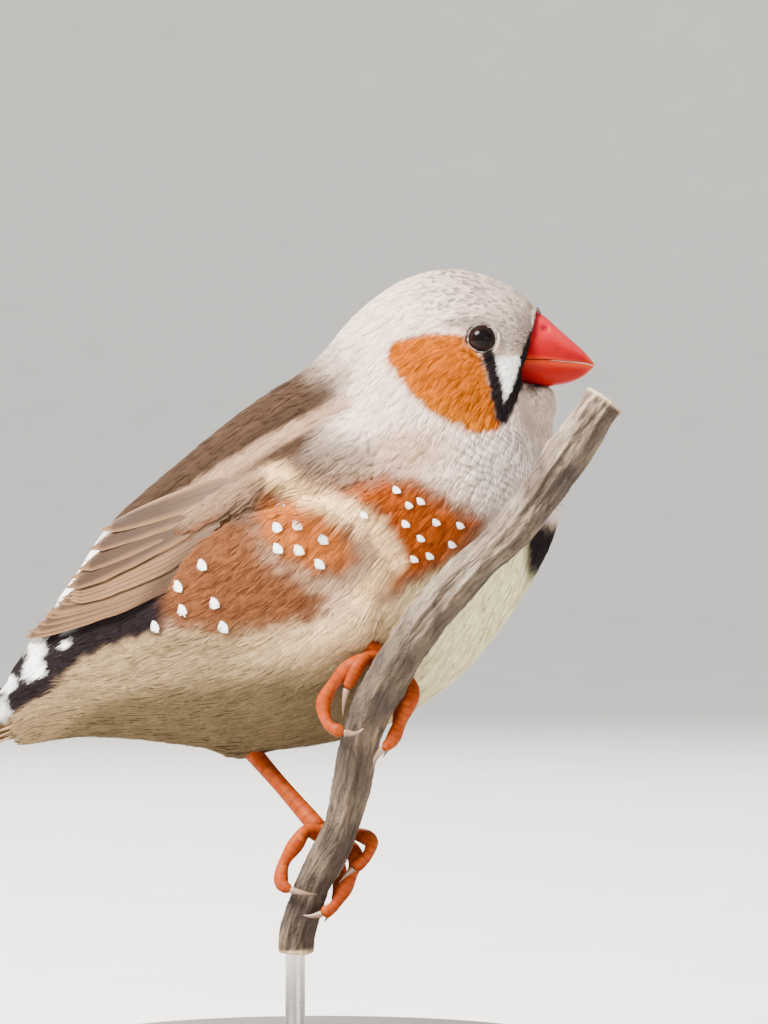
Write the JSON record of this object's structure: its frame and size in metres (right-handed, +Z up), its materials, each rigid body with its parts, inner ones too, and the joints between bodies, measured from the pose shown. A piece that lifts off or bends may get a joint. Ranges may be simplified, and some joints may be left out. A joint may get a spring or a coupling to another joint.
{
  "type": "zebra finch model",
  "caption": "Life-size still model of a perched zebra finch that grips a short cut length of branch, held by a rod on a round wooden base.",
  "frame": {"origin": "centre of the underside of the stand's base", "axes": "+X the way the bird looks, +Y to the bird's left, +Z up"},
  "size_m": [0.1, 0.068, 0.1065],
  "materials": {
    "grey_feathers": "soft short feathers, pale warm grey with an orange cheek patch",
    "body_feathers": "soft body feathers, taupe above, chestnut with pale spots on the flank, cream below",
    "wing_feathers": "smooth flight feathers with pale edges",
    "tail_feathers": "smooth dark tail feathers, coverts barred with white",
    "cream_feathers": "loose downy feathers",
    "bill": "hard horn with a low gloss",
    "eye": "wet and glossy",
    "leg": "scaly skin with horn claws",
    "bark": "rough weathered bark",
    "base": "dark wood with a satin lacquer",
    "rod": "brushed steel"
  },
  "bodies": {
    "root": {"head": "grey_feathers", "neck": "grey_feathers", "torso": "body_feathers", "wing_right": "wing_feathers", "wing_left": "wing_feathers", "tail": "tail_feathers", "thigh_right": "cream_feathers", "thigh_left": "cream_feathers", "bill_upper": "bill", "bill_lower": "bill", "eye_right": "eye", "eye_left": "eye", "leg_right": "leg", "leg_left": "leg", "perch": "bark", "stand_base": "base", "stand_rod": "rod"}
  },
  "joints": []
}
